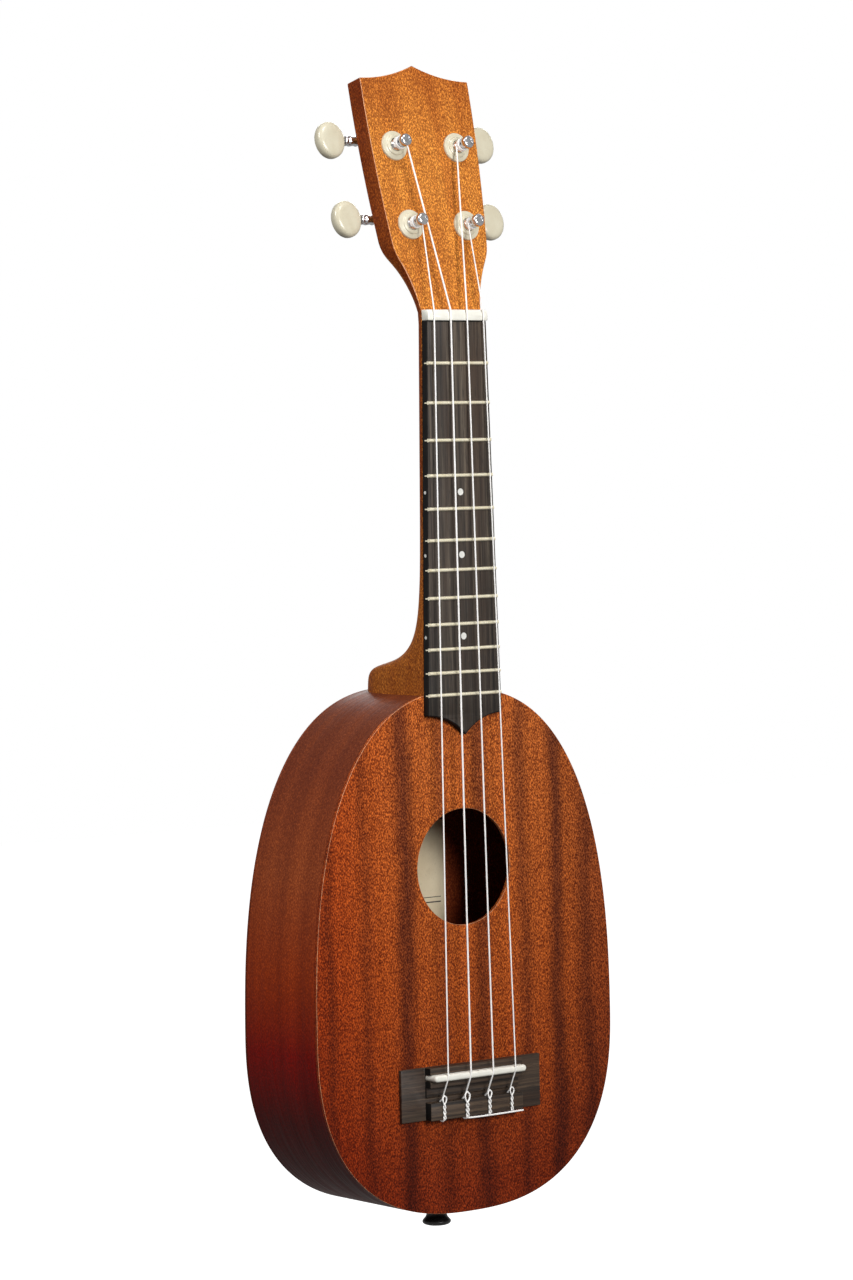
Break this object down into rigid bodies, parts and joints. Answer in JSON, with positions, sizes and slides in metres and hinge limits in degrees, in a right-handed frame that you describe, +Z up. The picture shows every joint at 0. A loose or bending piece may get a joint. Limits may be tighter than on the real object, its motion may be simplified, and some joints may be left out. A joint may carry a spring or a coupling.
{
  "type": "ukulele",
  "caption": "Soprano ukulele with a pineapple body, a tie bridge and geared tuning machines, held upright by its headstock",
  "frame": {"origin": "where a wall hanger's cradle bears on the headstock, in the middle of its width and thickness just above the nut", "axes": "X runs across the strings from bass to treble, Y from the soundboard through to the back, and Z up the neck to the headstock's tip"},
  "size_m": [0.1734, 0.0709, 0.5458],
  "materials": {
    "mahogany_top": "satin lacquer over orange-brown ribboned mahogany",
    "mahogany_side": "satin lacquer over darker red-brown mahogany",
    "mahogany_neck": "satin lacquer over straight-grained orange-brown mahogany",
    "inner_wood": "bare sanded wood",
    "rosewood": "open-grained dark rosewood, oiled",
    "bone_white": "polished white",
    "ivory_plastic": "glossy cream",
    "nylon": "smooth translucent white",
    "fret_metal": "polished pale nickel silver",
    "gear_brass": "plain brass",
    "tuner_chrome": "plated",
    "black_plastic": "glossy black"
  },
  "bodies": {
    "instrument": {"soundboard": "mahogany_top", "back_plate": "mahogany_side", "side_bass": "mahogany_side", "side_treble": "mahogany_side", "neck_block": "inner_wood", "end_block": "inner_wood", "top_lining_bass": "inner_wood", "top_lining_treble": "inner_wood", "back_lining_bass": "inner_wood", "back_lining_treble": "inner_wood", "top_brace_upper": "inner_wood", "top_brace_lower": "inner_wood", "back_brace_upper": "inner_wood", "back_brace_lower": "inner_wood", "end_button": "black_plastic", "neck": "mahogany_neck", "fretboard": "rosewood", "nut": "bone_white", "bridge": "rosewood", "saddle": "bone_white", "fret_01": "fret_metal", "fret_02": "fret_metal", "fret_03": "fret_metal", "fret_04": "fret_metal", "fret_05": "fret_metal", "fret_06": "fret_metal", "fret_07": "fret_metal", "fret_08": "fret_metal", "fret_09": "fret_metal", "fret_10": "fret_metal", "fret_11": "fret_metal", "fret_12": "fret_metal", "string_1": "nylon", "string_2": "nylon", "string_3": "nylon", "string_4": "nylon", "tuner_plate_1": "tuner_chrome", "tuner_bushing_1": "ivory_plastic", "tuner_plate_2": "tuner_chrome", "tuner_bushing_2": "ivory_plastic", "tuner_plate_3": "tuner_chrome", "tuner_bushing_3": "ivory_plastic", "tuner_plate_4": "tuner_chrome", "tuner_bushing_4": "ivory_plastic"},
    "key_1": {"tuner_worm_1": "tuner_chrome", "tuner_knob_1": "ivory_plastic"},
    "post_1": {"tuner_post_1": "tuner_chrome", "tuner_gear_1": "gear_brass"},
    "key_2": {"tuner_worm_2": "tuner_chrome", "tuner_knob_2": "ivory_plastic"},
    "post_2": {"tuner_post_2": "tuner_chrome", "tuner_gear_2": "gear_brass"},
    "key_3": {"tuner_worm_3": "tuner_chrome", "tuner_knob_3": "ivory_plastic"},
    "post_3": {"tuner_post_3": "tuner_chrome", "tuner_gear_3": "gear_brass"},
    "key_4": {"tuner_worm_4": "tuner_chrome", "tuner_knob_4": "ivory_plastic"},
    "post_4": {"tuner_post_4": "tuner_chrome", "tuner_gear_4": "gear_brass"}
  },
  "joints": [
    {"name": "key_1_turn", "type": "hinge", "parent": "instrument", "child": "key_1", "pos_m": [-0.0158, 0.01586, 0.03195], "axis": [1, 0, 0], "continuous": true},
    {"name": "post_1_turn", "type": "hinge", "parent": "instrument", "child": "post_1", "pos_m": [-0.0158, 0.00087, 0.02903], "axis": [0, 0.9763, -0.2164], "continuous": true},
    {"name": "key_2_turn", "type": "hinge", "parent": "instrument", "child": "key_2", "pos_m": [-0.0182, 0.02404, 0.06886], "axis": [1, 0, 0], "continuous": true},
    {"name": "post_2_turn", "type": "hinge", "parent": "instrument", "child": "post_2", "pos_m": [-0.0182, 0.00906, 0.06593], "axis": [0, 0.9763, -0.2164], "continuous": true},
    {"name": "key_3_turn", "type": "hinge", "parent": "instrument", "child": "key_3", "pos_m": [0.0182, 0.02404, 0.06886], "axis": [1, 0, 0], "continuous": true},
    {"name": "post_3_turn", "type": "hinge", "parent": "instrument", "child": "post_3", "pos_m": [0.0182, 0.00906, 0.06593], "axis": [0, 0.9763, -0.2164], "continuous": true},
    {"name": "key_4_turn", "type": "hinge", "parent": "instrument", "child": "key_4", "pos_m": [0.0168, 0.01586, 0.03195], "axis": [1, 0, 0], "continuous": true},
    {"name": "post_4_turn", "type": "hinge", "parent": "instrument", "child": "post_4", "pos_m": [0.0168, 0.00087, 0.02903], "axis": [0, 0.9763, -0.2164], "continuous": true}
  ],
  "couplings": [
    {"joint": "post_1_turn", "follows": "key_1_turn", "ratio": -0.071429},
    {"joint": "post_2_turn", "follows": "key_2_turn", "ratio": -0.071429},
    {"joint": "post_3_turn", "follows": "key_3_turn", "ratio": -0.071429},
    {"joint": "post_4_turn", "follows": "key_4_turn", "ratio": -0.071429}
  ]
}
